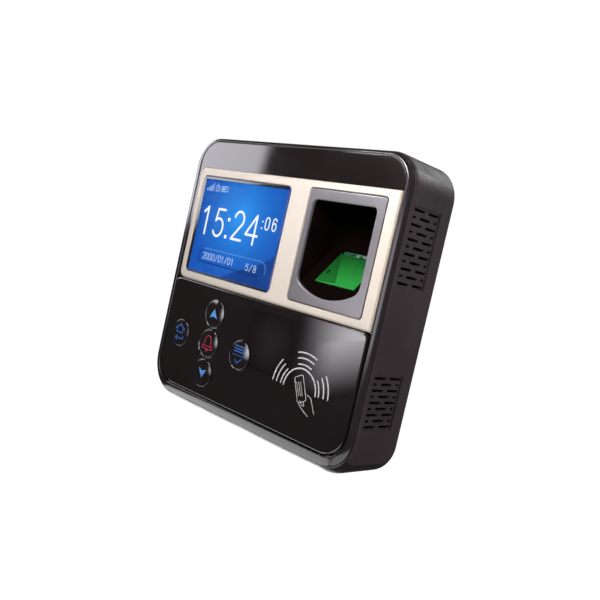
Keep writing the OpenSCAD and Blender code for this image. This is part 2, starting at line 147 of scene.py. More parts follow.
M = {}
M["gloss"] = surface("gloss_black", (0.0085, 0.0058, 0.0062), (0.0115, 0.0082, 0.0086), (0.035, 0.065), vary=35, grain=(55, 0.05, 0.05, "n"))
M["rim"] = surface("gloss_rim", (0.010, 0.0075, 0.0085), (0.015, 0.0115, 0.013), (0.07, 0.13), vary=45, grain=(120, 0.05, 0.04, "n"), spec=0.32)
M["key"] = surface("gloss_key", (0.0085, 0.0058, 0.0062), (0.012, 0.0085, 0.0092), (0.04, 0.08), vary=150, grain=(200, 0.04, 0.03, "n"))
M["shell"] = surface("grained_shell", (0.021, 0.0150, 0.0172), (0.030, 0.0220, 0.0248), (0.40, 0.54), vary=30, grain=(2300, 0.55, 0.09, "cell"))
M["gold"] = surface("champagne_paint", (0.472, 0.416, 0.354), (0.505, 0.449, 0.385), (0.40, 0.46), metal=0.05, spec=0.22, vary=22, grain=(2600, 0.10, 0.02, "n"))
# darker copy of the champagne paint: painted shade for the trim band's lower and right bevels
M["gold_painted_shade"] = surface("champagne_painted_shade", (0.30, 0.255, 0.205), (0.34, 0.29, 0.235), (0.42, 0.5), metal=0.05, spec=0.2, vary=30, grain=(2600, 0.10, 0.02, "n"))
M["bezel"] = surface("silver_satin", (0.104, 0.098, 0.103), (0.111, 0.105, 0.110), (0.255, 0.265), metal=0.45, spec=0.3, vary=12, grain=(2400, 0.12, 0.02, "n"))
# finger well: black darker than the other black plastics, painted shade in the recess
M["well"] = surface("well_black", (0.0030, 0.0014, 0.0013), (0.0045, 0.0024, 0.0022), (0.52, 0.62), vary=70, grain=(1500, 0.15, 0.03, "n"), spec=0.0)
M["innerblack"] = surface("inner_black", (0.008, 0.006, 0.006), (0.012, 0.009, 0.009), (0.5, 0.6), vary=70, grain=(900, 0.2, 0.03, "n"))
M["mask"] = surface("lens_border", (0.0075, 0.0058, 0.006), (0.011, 0.0085, 0.009), (0.05, 0.09), vary=60, grain=(90, 0.04, 0.03, "n"))
M["steel"] = surface("zinc_steel", (0.20, 0.205, 0.215), (0.27, 0.275, 0.285), (0.42, 0.54), metal=0.9, vary=130, grain=(420, 0.22, 0.03, "cell"))
M["screw"] = surface("screw_steel", (0.40, 0.40, 0.41), (0.56, 0.56, 0.57), (0.22, 0.38), metal=1.0, vary=500, grain=(3000, 0.15, 0.01, "n"))
M["board"] = surface("solder_mask", (0.006, 0.062, 0.022), (0.010, 0.105, 0.036), (0.24, 0.36), vary=220, grain=(700, 0.25, 0.03, "cell"))
M["chip"] = surface("black_epoxy", (0.012, 0.012, 0.013), (0.022, 0.022, 0.024), (0.42, 0.56), vary=300, grain=(3000, 0.25, 0.02, "n"))
M["nylon"] = surface("natural_nylon", (0.70, 0.67, 0.58), (0.78, 0.75, 0.67), (0.36, 0.48), vary=160, grain=(1600, 0.12, 0.02, "n"))
M["copper"] = surface("coil_copper", (0.55, 0.22, 0.10), (0.72, 0.33, 0.16), (0.2, 0.34), metal=1.0, vary=380, grain=(1800, 0.2, 0.02, "n"))
M["polyimide"] = surface("flex_amber", (0.40, 0.16, 0.03), (0.55, 0.25, 0.05), (0.24, 0.34), vary=200, grain=(900, 0.15, 0.02, "n"))
M["silicone"] = surface("silicone_mat", (0.28, 0.28, 0.29), (0.36, 0.36, 0.37), (0.5, 0.62), vary=180, grain=(1200, 0.2, 0.02, "n"))
M["relay"] = surface("relay_blue", (0.02, 0.07, 0.26), (0.03, 0.10, 0.34), (0.28, 0.40), vary=150, grain=(1400, 0.12, 0.02, "n"))
M["alu"] = surface("alu_can", (0.60, 0.61, 0.63), (0.74, 0.75, 0.77), (0.2, 0.32), metal=1.0, vary=420, grain=(2600, 0.15, 0.01, "n"))
M["cone"] = surface("paper_cone", (0.014, 0.014, 0.015), (0.028, 0.028, 0.03), (0.6, 0.75), vary=500, grain=(2200, 0.4, 0.04, "cell"))
M["led"] = surface("led_body", (0.72, 0.70, 0.52), (0.85, 0.83, 0.66), (0.2, 0.3), vary=600, grain=(2000, 0.1, 0.01, "n"))
M["icon_white"] = surface("print_white", (0.40, 0.385, 0.385), (0.46, 0.445, 0.445), (0.35, 0.45), vary=400, grain=(2500, 0.15, 0.01, "n"))
M["icon_blue"] = surface("print_blue", (0.030, 0.150, 0.40), (0.036, 0.175, 0.45), (0.3, 0.4), vary=500, grain=(2500, 0.15, 0.01, "n"), emit=0.35)
M["icon_blue_dim"] = surface("print_blue_dim", (0.012, 0.060, 0.22), (0.016, 0.078, 0.28), (0.4, 0.5), vary=500, grain=(2500, 0.15, 0.01, "n"), emit=0.5, spec=0.1)
M["icon_red"] = surface("print_red", (0.19, 0.012, 0.030), (0.24, 0.016, 0.038), (0.4, 0.5), vary=500, grain=(2500, 0.15, 0.01, "n"), emit=0.6, spec=0.1)


def screen_mat():
    """backlit image: blue glow round the clock, darker towards the corners"""
    m, nt, b, tc = new_mat("screen_image")
    mp = nt.nodes.new("ShaderNodeMapping")
    mp.inputs["Location"].default_value = (22.0 / 27.0, 0, -24.0 / 27.0)
    mp.inputs["Scale"].default_value = (1000 / 27.0, 0.0, 1000 / 27.0)
    nt.links.new(tc.outputs["Object"], mp.inputs[0])
    g = nt.nodes.new("ShaderNodeTexGradient")
    g.gradient_type = "SPHERICAL"
    nt.links.new(mp.outputs[0], g.inputs[0])
    soft = nt.nodes.new("ShaderNodeMath")
    soft.operation = "MULTIPLY_ADD"
    nt.links.new(noise(nt, tc, 45, 2.0), soft.inputs[0])
    soft.inputs[1].default_value = 0.10
    nt.links.new(g.outputs["Fac"], soft.inputs[2])
    col = ramp(nt, soft.outputs[0], [(0.02, (0.004, 0.075, 0.42)), (0.35, (0.007, 0.115, 0.50)), (0.70, (0.012, 0.19, 0.66)), (1.0, (0.018, 0.29, 0.82))])
    nt.links.new(col, b.inputs["Emission Color"])
    b.inputs["Emission Strength"].default_value = 0.95
    b.inputs["Base Color"].default_value = (0.004, 0.01, 0.03, 1)
    b.inputs["Roughness"].default_value = 0.4
    b.inputs["Specular IOR Level"].default_value = 0.0
    return m


def glow_mat(name, c1, c2, strength, vary=120):
    m, nt, b, tc = new_mat(name)
    col = ramp(nt, noise(nt, tc, vary, 2.0), [(0.3, c1), (0.7, c2)])
    nt.links.new(col, b.inputs["Emission Color"])
    b.inputs["Base Color"].default_value = (0.004, 0.006, 0.01, 1)
    b.inputs["Emission Strength"].default_value = strength
    b.inputs["Roughness"].default_value = 0.6
    b.inputs["Specular IOR Level"].default_value = 0.0
    return m


def height_glow(name, low, high, z0, z1, strength):
    """painted light and shade that changes from colour low at height z0 mm to colour high at z1 mm"""
    m, nt, b, tc = new_mat(name)
    sep = nt.nodes.new("ShaderNodeSeparateXYZ")
    nt.links.new(tc.outputs["Object"], sep.inputs[0])
    mr = nt.nodes.new("ShaderNodeMapRange")
    mr.inputs["From Min"].default_value, mr.inputs["From Max"].default_value = z0 * MM, z1 * MM
    nt.links.new(sep.outputs[2], mr.inputs["Value"])
    ad = nt.nodes.new("ShaderNodeMath")
    ad.operation = "MULTIPLY_ADD"
    nt.links.new(noise(nt, tc, 160, 2.0), ad.inputs[0])
    ad.inputs[1].default_value = 0.12
    nt.links.new(mr.outputs[0], ad.inputs[2])
    nt.links.new(ramp(nt, ad.outputs[0], [(0.05, low), (1.0, high)]), b.inputs["Emission Color"])
    b.inputs["Base Color"].default_value = (0.002, 0.008, 0.003, 1)
    b.inputs["Emission Strength"].default_value = strength
    b.inputs["Roughness"].default_value = 0.6
    b.inputs["Specular IOR Level"].default_value = 0.0
    return m


def glass_mat(name, tint, rough, spec, ior=1.45):
    m, nt, b, tc = new_mat(name)
    nt.links.new(ramp(nt, noise(nt, tc, 30, 2.0), [(0.3, tint), (0.7, tuple(min(1.0, c * 1.01) for c in tint))]), b.inputs["Base Color"])
    nt.links.new(remap(nt, noise(nt, tc, 90, 2.0), rough, rough + 0.02), b.inputs["Roughness"])
    b.inputs["Transmission Weight"].default_value = 1.0
    b.inputs["IOR"].default_value = ior
    b.inputs["Specular IOR Level"].default_value = spec
    return m


M["screen"] = screen_mat()
M["digit"] = glow_mat("screen_digit", (0.86, 0.93, 1.0), (0.94, 0.97, 1.0), 1.0)
M["pill"] = glow_mat("screen_line", (0.10, 0.30, 0.72), (0.16, 0.38, 0.82), 0.85)
M["text"] = glow_mat("screen_text", (0.46, 0.66, 0.93), (0.58, 0.76, 1.0), 0.9)
M["navy"] = glow_mat("screen_shade", (0.003, 0.040, 0.250), (0.004, 0.052, 0.290), 0.95)
M["navyline"] = glow_mat("screen_dark_line", (0.002, 0.022, 0.150), (0.003, 0.030, 0.190), 0.95)
M["lens"] = glass_mat("lens_glass", (0.985, 0.99, 1.0), 0.01, 0.08, 1.03)
M["prismglass"] = glass_mat("prism_glass", (0.93, 1.0, 0.94), 0.02, 0.35)
# the prism's liner faces glow: painted green light of the sensor LEDs, with painted shade darkening up the side and
# back faces
M["green_hi"] = glow_mat("prism_painted_green_light", (0.040, 0.400, 0.072), (0.050, 0.450, 0.088), 0.95, 90)
M["green_mid"] = height_glow("prism_side_painted_light_and_shade", (0.019, 0.205, 0.036), (0.008, 0.090, 0.016), 7, 18, 0.95)
M["green_lo"] = height_glow("prism_back_painted_light_and_shade", (0.034, 0.400, 0.066), (0.006, 0.070, 0.013), 8.5, 19.5, 0.95)
M["green_spot"] = glow_mat("prism_dark_spot", (0.004, 0.030, 0.007), (0.006, 0.042, 0.010), 0.9, 90)
M["glint"] = glow_mat("prism_painted_glint", (0.30, 0.32, 0.31), (0.42, 0.44, 0.43), 0.9, 300)


# ---------------------------------------------------------------- mesh helpers
def add_mesh(name, verts, faces, mats=("gloss",)):
    me = bpy.data.meshes.new(name)
    me.from_pydata([W(*v) for v in verts], [], faces)
    o = bpy.data.objects.new(name, me)
    scene.collection.objects.link(o)
    for k in mats:
        me.materials.append(M[k])
    bm = bmesh.new()
    bm.from_mesh(me)
    bmesh.ops.recalc_face_normals(bm, faces=bm.faces)
    bm.to_mesh(me)
    bm.free()
    return o


def bake(o):
    """applies the modifiers"""
    dg = bpy.context.evaluated_depsgraph_get()
    me = bpy.data.meshes.new_from_object(o.evaluated_get(dg))
    o.modifiers.clear()
    old = o.data
    o.data = me
    bpy.data.meshes.remove(old)
    return o


def clean(o, dist=0.002):
    bm = bmesh.new()
    bm.from_mesh(o.data)
    bmesh.ops.remove_doubles(bm, verts=bm.verts, dist=dist * MM)
    bmesh.ops.dissolve_degenerate(bm, edges=bm.edges, dist=0.0005 * MM)
    loose = [v for v in bm.verts if not v.link_faces]
    if loose:
        bmesh.ops.delete(bm, geom=loose, context="VERTS")
    bm.to_mesh(o.data)
    bm.free()


def shade(o, angle=32):
    o.data.shade_smooth()
    o.data.set_sharp_from_angle(angle=math.radians(angle))
    w = o.modifiers.new("wn", "WEIGHTED_NORMAL")
    w.keep_sharp, w.weight, w.mode = True, 60, "FACE_AREA"
    return bake(o)


def boolean(o, cutter, op="DIFFERENCE"):
    before = len(o.data.polygons)
    b = o.modifiers.new("b", "BOOLEAN")
    b.operation, b.solver, b.object = op, "EXACT", cutter
    bake(o)
    if len(o.data.polygons) < 0.6 * before:
        raise RuntimeError(f"boolean emptied {o.name}: {before} faces became {len(o.data.polygons)}")
    me = cutter.data
    bpy.data.objects.remove(cutter)
    bpy.data.meshes.remove(me)
    return o


def bevel(o, mm, seg=3, angle=35):
    b = o.modifiers.new("bv", "BEVEL")
    b.width, b.segments, b.limit_method, b.angle_limit = mm * MM, seg, "ANGLE", math.radians(angle)
    b.use_clamp_overlap = True
    return bake(o)


def rr(x0, x1, z0, z1, r, n=10):
    """rounded rectangle, radii r = (bottom left, bottom right, top right, top left) or one number"""
    if not isinstance(r, (tuple, list)):
        r = (r,) * 4
    pts = []
    for (cx, cz, s, k) in ((x0, z0, 180, 0), (x1, z0, 270, 1), (x1, z1, 0, 2), (x0, z1, 90, 3)):
        q = max(r[k], 0.001)
        ox = cx + q if cx == x0 else cx - q
        oz = cz + q if cz == z0 else cz - q
        for i in range(n + 1):
            a = math.radians(s + 90 * i / n)
            pts.append((ox + q * math.cos(a), oz + q * math.sin(a)))
    return pts


def loft(name, rings, mats=("gloss",), closed=False):
    """rings = [(u, [(x, z), ...]), ...] with equal counts; ends capped, or the last joined to the first"""
    n = len(rings[0][1])
    verts = [(x, u, z) for u, ring in rings for x, z in ring]
    faces = []
    k = len(rings)
    for i in range(k if closed else k - 1):
        a, b = i * n, ((i + 1) % k) * n
        for j in range(n):
            faces.append((a + j, a + (j + 1) % n, b + (j + 1) % n, b + j))
    if not closed:
        faces.append(tuple(range(n - 1, -1, -1)))
        faces.append(tuple((k - 1) * n + j for j in range(n)))
    return add_mesh(name, verts, faces, mats)


def prism(pts, u0, u1):
    """verts and faces of an outline in x and z pulled from depth u0 to u1"""
    n = len(pts)
    v = [(x, u0, z) for x, z in pts] + [(x, u1, z) for x, z in pts]
    f = [tuple(range(n - 1, -1, -1)), tuple(range(n, 2 * n))]
    f += [(j, (j + 1) % n, n + (j + 1) % n, n + j) for j in range(n)]
    return v, f


def many(name, parts, mats=("gloss",)):
    verts, faces = [], []
    for v, f in parts:
        b = len(verts)
        verts += v
        faces += [tuple(i + b for i in q) for q in f]
    return add_mesh(name, verts, faces, mats)


def slabp(x0, x1, z0, z1, r, u0, u1, n=8):
    return prism(rr(x0, x1, z0, z1, r, n), u0, u1)


def disc(x, z, r, n=40):
    return [(x + r * math.cos(2 * math.pi * i / n), z + r * math.sin(2 * math.pi * i / n)) for i in range(n)]


def lathe(x, z, prof, n=64):
    """closed solid of revolution about Y; prof = [(u, r), ...], and both ends close on the axis"""
    v = [(x, prof[0][0], z)]
    for u, r in prof:
        v += [(px, u, pz) for px, pz in disc(x, z, r, n)]
    v.append((x, prof[-1][0], z))
    f = [(0, 1 + (j + 1) % n, 1 + j) for j in range(n)]
    for i in range(len(prof) - 1):
        a, b = 1 + i * n, 1 + (i + 1) * n
        f += [(a + j, a + (j + 1) % n, b + (j + 1) % n, b + j) for j in range(n)]
    last, t = 1 + (len(prof) - 1) * n, len(v) - 1
    f += [(t, last + j, last + (j + 1) % n) for j in range(n)]
    return v, f


def alongx(x0, x1, pts):
    n = len(pts)
    v = [(x0, u, z) for u, z in pts] + [(x1, u, z) for u, z in pts]
    f = [tuple(range(n - 1, -1, -1)), tuple(range(n, 2 * n))]
    f += [(j, (j + 1) % n, n + (j + 1) % n, n + j) for j in range(n)]
    return v, f


def ubox(x0, x1, u0, u1, z0, z1):
    return alongx(x0, x1, [(u0, z0), (u1, z0), (u1, z1), (u0, z1)])


def bvh(o):
    bm = bmesh.new()
    bm.from_mesh(o.data)
    t = BVHTree.FromBMesh(bm)
    bm.free()
    return t


def over(tree):
    """depth of a surface under a point, seen from the front"""
    def f(x, z):
        hit = tree.ray_cast(Vector((x * MM, -0.05, z * MM)), Vector((0, 1, 0)))
        return (hit[0].y / MM + D) if hit[0] is not None else 0.0
    return f


def resample(path, step):
    out = [path[0]]
    for a, b in zip(path, path[1:]):
        d = math.hypot(b[0] - a[0], b[1] - a[1])
        k = max(1, int(math.ceil(d / step)))
        for i in range(1, k + 1):
            out.append((a[0] + (b[0] - a[0]) * i / k, a[1] + (b[1] - a[1]) * i / k))
    return out


def ribbon(path, w, depth, lift=0.03, sink=0.05, step=0.35, closed=False):
    """closed raised line of width w that follows the surface depth(x, z)"""
    p = resample(path + ([path[0]] if closed else []), step)
    if closed:
        p = p[:-1]
    n = len(p)
    L, R = [], []
    for i in range(n):
        a = p[(i - 1) % n] if closed or i else p[0]
        c = p[(i + 1) % n] if closed or i < n - 1 else p[-1]
        tx, tz = c[0] - a[0], c[1] - a[1]
        q = math.hypot(tx, tz) or 1.0
        nx, nz = -tz / q * w / 2, tx / q * w / 2
        L.append((p[i][0] + nx, p[i][1] + nz))
        R.append((p[i][0] - nx, p[i][1] - nz))
    if closed:
        v, f = [], []
        for (a, b) in zip(L, R):
            v += [(a[0], depth(*a) - lift, a[1]), (b[0], depth(*b) - lift, b[1]), (b[0], depth(*b) + sink, b[1]), (a[0], depth(*a) + sink, a[1])]
        for i in range(n):
            a, b = 4 * i, 4 * ((i + 1) % n)
            for k in range(4):
                f.append((a + k, a + (k + 1) % 4, b + (k + 1) % 4, b + k))
        return v, f

    def cap(c, start, sgn):
        return [(c[0] + w / 2 * math.cos(start + sgn * math.pi * i / 6), c[1] + w / 2 * math.sin(start + sgn * math.pi * i / 6)) for i in range(1, 6)]
    a0 = math.atan2(R[0][1] - p[0][1], R[0][0] - p[0][0])
    a1 = math.atan2(L[-1][1] - p[-1][1], L[-1][0] - p[-1][0])
    capa, capb = cap(p[0], a0, -1), cap(p[-1], a1, -1)
    top = L + capb + R[::-1] + capa
    m = len(top)
    v = [(x, depth(x, z) - lift, z) for x, z in top] + [(x, depth(x, z) + sink, z) for x, z in top]
    iL = list(range(n))
    iR = [n + 5 + (n - 1 - i) for i in range(n)]
    f = []
    for o, rev in ((0, False), (m, True)):
        for i in range(n - 1):
            q = (iL[i] + o, iL[i + 1] + o, iR[i + 1] + o, iR[i] + o)
            f.append(q[::-1] if rev else q)
        cb = tuple([iL[-1] + o] + [n + i + o for i in range(5)] + [iR[-1] + o])
        ca = tuple([iR[0] + o] + [2 * n + 5 + i + o for i in range(5)] + [iL[0] + o])
        f += [cb[::-1] if rev else cb, ca[::-1] if rev else ca]
    for i in range(m):
        f.append((i, (i + 1) % m, m + (i + 1) % m, m + i))
    return v, f


def patch(poly, depth, lift=0.03, sink=0.05, cuts=3):
    """closed raised filled shape that follows a surface"""
    bm = bmesh.new()
    bm.faces.new([bm.verts.new((x, 0, z)) for x, z in poly])
    bmesh.ops.triangulate(bm, faces=bm.faces)
    bmesh.ops.subdivide_edges(bm, edges=bm.edges, cuts=cuts, use_grid_fill=True)
    bmesh.ops.triangulate(bm, faces=bm.faces)
    bm.verts.ensure_lookup_table()
    n = len(bm.verts)
    top = [(v.co.x, v.co.z) for v in bm.verts]
    v = [(x, depth(x, z) - lift, z) for x, z in top] + [(x, depth(x, z) + sink, z) for x, z in top]
    f = [tuple(q.index for q in fc.verts) for fc in bm.faces]
    f += [tuple(i + n for i in reversed(q)) for q in f]
    for e in bm.edges:
        if len(e.link_faces) == 1:
            a, b = e.verts[0].index, e.verts[1].index
            f.append((a, b, b + n, a + n))
    bm.free()
    return v, f


def arc(cx, cz, r, a0, a1, n=24, rz=None):
    rz = r if rz is None else rz
    return [(cx + r * math.cos(math.radians(a0 + (a1 - a0) * i / n)), cz + rz * math.sin(math.radians(a0 + (a1 - a0) * i / n))) for i in range(n + 1)]


def smooth(a, b, n):
    return [a + (b - a) * i / n for i in range(n + 1)]


# ---------------------------------------------------------------- front cover
def rim_ring(u, x, zb, zt, r):
    return (u, rr(-x, x, zb, zt, r, 14))


rings = [rim_ring(3.7, 53.8, -50.4, 53.6, 9.6), rim_ring(1.46, 53.8, -50.4, 53.6, 9.6), rim_ring(1.33, 55.7, -52.05, 54.3, 11.7), rim_ring(1.27, 56.0, -52.35, 54.5, 12.0)]
for i in range(1, 13):                     # glossy outer roll, from the seam to the crest
    t = math.pi / 2 * i / 12
    c, s = math.cos(t), math.sin(t)
    lin = 1 - i / 12
    rings.append(rim_ring(1.22 - 0.82 * (0.35 * s + 0.65 * (1 - lin)), 54.0 + 2.05 * c ** 0.9, -49.45 - 2.95 * lin, 53.62 + 0.92 * c ** 0.9, 10.4 + 1.6 * c))
rings += [rim_ring(0.40, 53.72, -49.36, 53.5, 10.1), rim_ring(0.46, 53.46, -49.2, 53.34, 9.7), rim_ring(0.62, 53.3, -49.1, 53.2, 9.4), rim_ring(2.1, 53.3, -49.1, 53.2, 9.4)]
front = loft("front_cover_shell", rings, ("rim",))
boolean(front, many("c", [slabp(-52.3, 6.7, -2.8, 40.8, 0.8, 0, 5), slabp(13.6, 46.2, 0, 37.2, 1, 0, 5), slabp(-49.2, -30.6, -34.1, -20.5, 2, 0, 5), slabp(-16.2, 2.4, -34.1, -20.5, 2, 0, 5), slabp(-30.2, -16.6, -46.6, -8.2, 2, 0, 5)]))
clean(front)
shade(front, 38)
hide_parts("front_cover")
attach(front, "case")

# ---------------------------------------------------------------- rear cover
def shell_ring(u, x, zb, zt, r):
    return (u, rr(-x, x, zb, zt, r, 14))


outer = [shell_ring(1.62, 55.75, -52.55, 54.35, 11.8), shell_ring(1.68, 56.0, -52.85, 54.55, 12)]
for u in (1.9, 2.3, 2.8, 3.4, 4.1, 4.9, 5.8, 6.8):
    t = (u - 1.6) / 5.2
    s = 1 - (1 - min(1.0, t)) ** 2.2
    e = 1 - (1 - min(1.0, t * 2.6)) ** 2.0
    outer.append(shell_ring(u, 56.0 + 0.3 * e, -52.85 - 2.15 * s, 54.55 + 0.45 * e, 12))
for i in range(7):
    a = math.pi / 2 * i / 6
    k = 0.9 * (1 - math.cos(a))
    outer.append(shell_ring(25.1 + 0.9 * math.sin(a), HW - k, -HH + k, HH - k, 12 - k * 0.6))
rear = loft("rear_cover_shell", outer, ("shell", "innerblack"))
boolean(rear, many("c", [slabp(-54.1, 54.1, -50.6, 53.7, 9.8, -1, 5.2, 14)]))
boolean(rear, many("c", [slabp(-54.1, 54.1, -52.8, 52.8, 9.8, 5.0, 22, 14)]))
boolean(rear, many("c", [slabp(-54.5, 54.5, -53.2, 53.2, 10.2, 24.2, 27.5, 14)]))
BOSS = [(-46.5, 46), (46.5, 46), (-46.5, -43.5), (46.5, -43.5)]
POST = [(-46.5, 33.5), (8.5, 33.5), (-46.5, -33.5), (8.5, -33.5)]
boolean(rear, many("c", [prism(disc(x, z, 4.2), 12.1, 22.3) for x, z in BOSS] + [prism(disc(x, z, 2.8), 16, 22.3) for x, z in POST]), "UNION")
boolean(rear, many("c", [lathe(x, z, [(11, 1.5), (19, 1.5), (19, 2.95), (25, 2.95)], 40) for x, z in BOSS]
                   + [prism(disc(x, z, 1.05), 15, 21) for x, z in POST]
                   + [slabp(-24, 4, -28, -4, 1, 20, 26), ubox(-36, -24, 21, 25, 32.8, 39.25), ubox(24, 36, 21, 25, 32.8, 39.25), prism(disc(-38, -20, 1.8), 20, 26)]))
boolean(rear, many("c", [prism(disc(x, z, 5), 23, 25.2) for x in (-30, 30) for z in (-30, 30)]))


def upcyl(x, u, z0, z1, r, n=32):
    v = [(x + r * math.cos(2 * math.pi * i / n), u + r * math.sin(2 * math.pi * i / n), z) for z in (z0, z1) for i in range(n)]
    f = [tuple(range(n)), tuple(range(2 * n - 1, n - 1, -1))] + [(i, n + i, n + (i + 1) % n, (i + 1) % n) for i in range(n)]
    return v, f


boolean(rear, many("c", [ubox(-7, 7, 16, 25, -52.8, -48.2)]))
boolean(rear, many("c", [upcyl(0, 20, -56, -50, 1.7)]))
boolean(rear, many("c", [upcyl(0, 20, -56, -54.1, 3.0)]))


def stadium(side, u0, length, z, h=0.9, n=7):
    r = h / 2
    pts = [(u0 + r + r * math.cos(math.radians(90 + 180 * i / n)), z + r * math.sin(math.radians(90 + 180 * i / n))) for i in range(n + 1)]
    pts += [(u0 + length - r + r * math.cos(math.radians(-90 + 180 * i / n)), z + r * math.sin(math.radians(-90 + 180 * i / n))) for i in range(n + 1)]
    xs = (50.5, 58) if side > 0 else (-58, -50.5)
    return alongx(xs[0], xs[1], pts)


def vents(side, n, ztop, pitch):
    out = []
    for i in range(n):
        for u0, ln in (((4.2, 6.2), (12.5, 6.2)) if i % 2 == 0 else ((4.2, 2.0), (8.3, 6.2), (16.6, 2.0))):
            out.append(stadium(side, u0, ln, ztop - i * pitch))
    return out


boolean(rear, many("c", [ubox(*((56.0, 58) if s > 0 else (-58, -56.0)), 3.4, 19.3, z0, z1) for s in (1, -1) for z0, z1 in ((12.0, 38.4), (-36.6, -17.9))]))
boolean(rear, many("c", [ubox(*((55.2, 58) if s > 0 else (-58, -55.2)), 18.95, 19.65, z0, z1) for s in (1, -1) for z0, z1 in ((12.0, 38.4), (-36.6, -17.9))]))
boolean(rear, many("c", [c for s in (1, -1) for c in vents(s, 11, 37.2, 2.43) + vents(s, 9, -18.95, 2.075)]))
clean(rear)
for p in rear.data.polygons:               # inside faces are plain black plastic
    c = p.center / MM
    u = c.y + D
    if abs(c.x) < 54.3 and -52.95 < c.z < 53.8 and 1.7 < u < 22.2:
        p.material_index = 1
shade(rear, 32)
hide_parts("rear_cover")
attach(rear, "case")

# ---------------------------------------------------------------- upper panel
def upring(u, i):
    return (u, rr(-53.27 + i, 53.1 - i, -4.5, 53.14 - i, (0.4, 0.4, 9.3 - i, 9.3 - i), 14))


up = loft("upper_gloss_panel", [upring(2.0, 0.0), upring(0.74, 0.0)] + [upring(0.74 - 0.24 * math.sin(math.pi / 2 * i / 6), 0.24 * (1 - math.cos(math.pi / 2 * i / 6))) for i in range(1, 7)], ("gloss",))
boolean(up, many("c", [prism(rr(-51.6, 54, -5.5, 42.1, (3.1, 0.1, 0.1, 3.1), 8), -1, 1.25)]))
boolean(up, many("c", [slabp(-50, 4.4, -2.3, 39.4, 0.6, 0, 3), slabp(13.9, 45.9, 0.3, 36.9, 1, 0, 3)]))
clean(up)
shade(up, 40)
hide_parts("upper_panel")
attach(up, "case")

# ---------------------------------------------------------------- keypad panel
def kring(u, k, edge):
    """k runs from 0 at the edge to 1 in the flat middle; edge adds the last small roll"""
    ix, ib, it = 0.8 + edge + 21.0 * k, 0.2 + edge + 20.0 * k, 0.1 + edge * 0.7 + 4.0 * k
    rb = 9.6 - 6.0 * k
    return (u, rr(-53.3 + ix - 0.45 * (1 - k), 53.3 - ix, -48.9 + ib, -4.9 - it, (rb, rb, 2.4 + 2.0 * k, 2.4 + 2.0 * k), 12))


kr = [kring(1.98, 0, 0.0), kring(1.25, 0, 0.0)]
for i in range(1, 7):
    a = math.pi / 2 * i / 6
    kr.append(kring(1.25 - 0.52 * math.sin(a), 0, 0.55 * (1 - math.cos(a))))
for i in range(1, 15):
    t = i / 14
    kr.append(kring(0.03 + 0.70 * (1 - t) ** 2.0, t, 0.55))
keypad = loft("keypad_gloss_panel", kr, ("gloss",))
for v in keypad.data.vertices:
    u, z = v.co.y / MM + D, v.co.z / MM
    if u > 1.26:
        continue
    k = 0.0 if u >= 0.7299 else 1 - math.sqrt(max(0.0, (u - 0.03) / 0.70))
    sn = min(1.0, max(0.0, (1.25 - u) / 0.52))
    edge = 0.55 * (1 - math.sqrt(max(0.0, 1 - sn * sn))) if u >= 0.7299 else 0.55
    r = 2.4 + 2.0 * k
    top = z > -5.0 - 0.7 * edge - 4.0 * k - r - 0.02      # corner points at the top; the blend runs down the sides
    ue = 0.10 if top else 0.73
    un = 1.25 - (1.25 - u) * (1.25 - ue) / 0.52 if u >= 0.7299 else 0.03 + (u - 0.03) * (ue - 0.03) / 0.70
    v.co.y = (un - D) * MM
KEYS = {"key_up": (-23.4, -15.2), "key_down": (-23.4, -39.4), "key_bell": (-23.4, -27.3), "key_home": (-42.4, -27.3), "key_menu": (-4.4, -27.2)}
boolean(keypad, many("c", [lathe(x, z, [(-1, 6.2), (0.02, 5.98), (0.18, 5.78), (0.5, 5.75), (3, 5.75)], 72) for x, z in KEYS.values()]))
clean(keypad)
shade(keypad, 40)
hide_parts("keypad_panel")
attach(keypad, "case")
on_panel = over(bvh(keypad))

# ---------------------------------------------------------------- trim band
bo = lambda i: rr(-51.5 + i, 53.0 - 2.3 * i, -4.8 + 3.3 * i, 42.0 - i, (3 - i * 0.8, 0.7, 0.7, 3 - i * 0.8), 10)
gold = loft("champagne_trim_band", [(1.2, bo(0)), (0.38, bo(0)), (0.24, bo(0.05)), (0.10, bo(0.17)), (0.03, bo(0.30)), (0.0, bo(0.45))], ("gold", "gold_painted_shade"))


def flared(x0, x1, z0, z1, r, grow=0.28):
    rings = []
    for u, g in ((3, 0), (0.34, 0), (0.22, 0.03), (0.11, 0.11), (0.03, 0.22), (-0.02, grow), (-0.5, grow)):
        rings.append((u, rr(x0 - g, x1 + g, z0 - g, z1 + g, r + g, 10)))
    return rings


boolean(gold, loft("c", flared(-48.95, 3.35, -1.655, 38.795, 2.1)))
boolean(gold, loft("c", flared(12.65, 48.25, -1.85, 39.5, 1.4, 0.16)))
clean(gold)
for p in gold.data.polygons:               # the wide lower and right bevels get a darker copy of the paint: painted shade on the faces turned down and right
    c, n = p.center / MM, p.normal
    if (n.z < -0.2 and c.z < -3.2) or (n.x > 0.2 and c.x > 51.7):
        p.material_index = 1
shade(gold, 30)
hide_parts("trim_band")
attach(gold, "case")

# ---------------------------------------------------------------- screen
lens_rings = [(1.15, rr(-48.8, 3.2, -1.5, 38.64, 2, 10)), (0.42, rr(-48.8, 3.2, -1.5, 38.64, 2, 10)), (0.30, rr(-48.72, 3.12, -1.42, 38.56, 1.95, 10)), (0.25, rr(-48.55, 2.95, -1.25, 38.4, 1.85, 10))]
lens = loft("screen_lens", lens_rings, ("lens",))
shade(lens, 30)
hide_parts("lcd_lens")
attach(lens, "case")
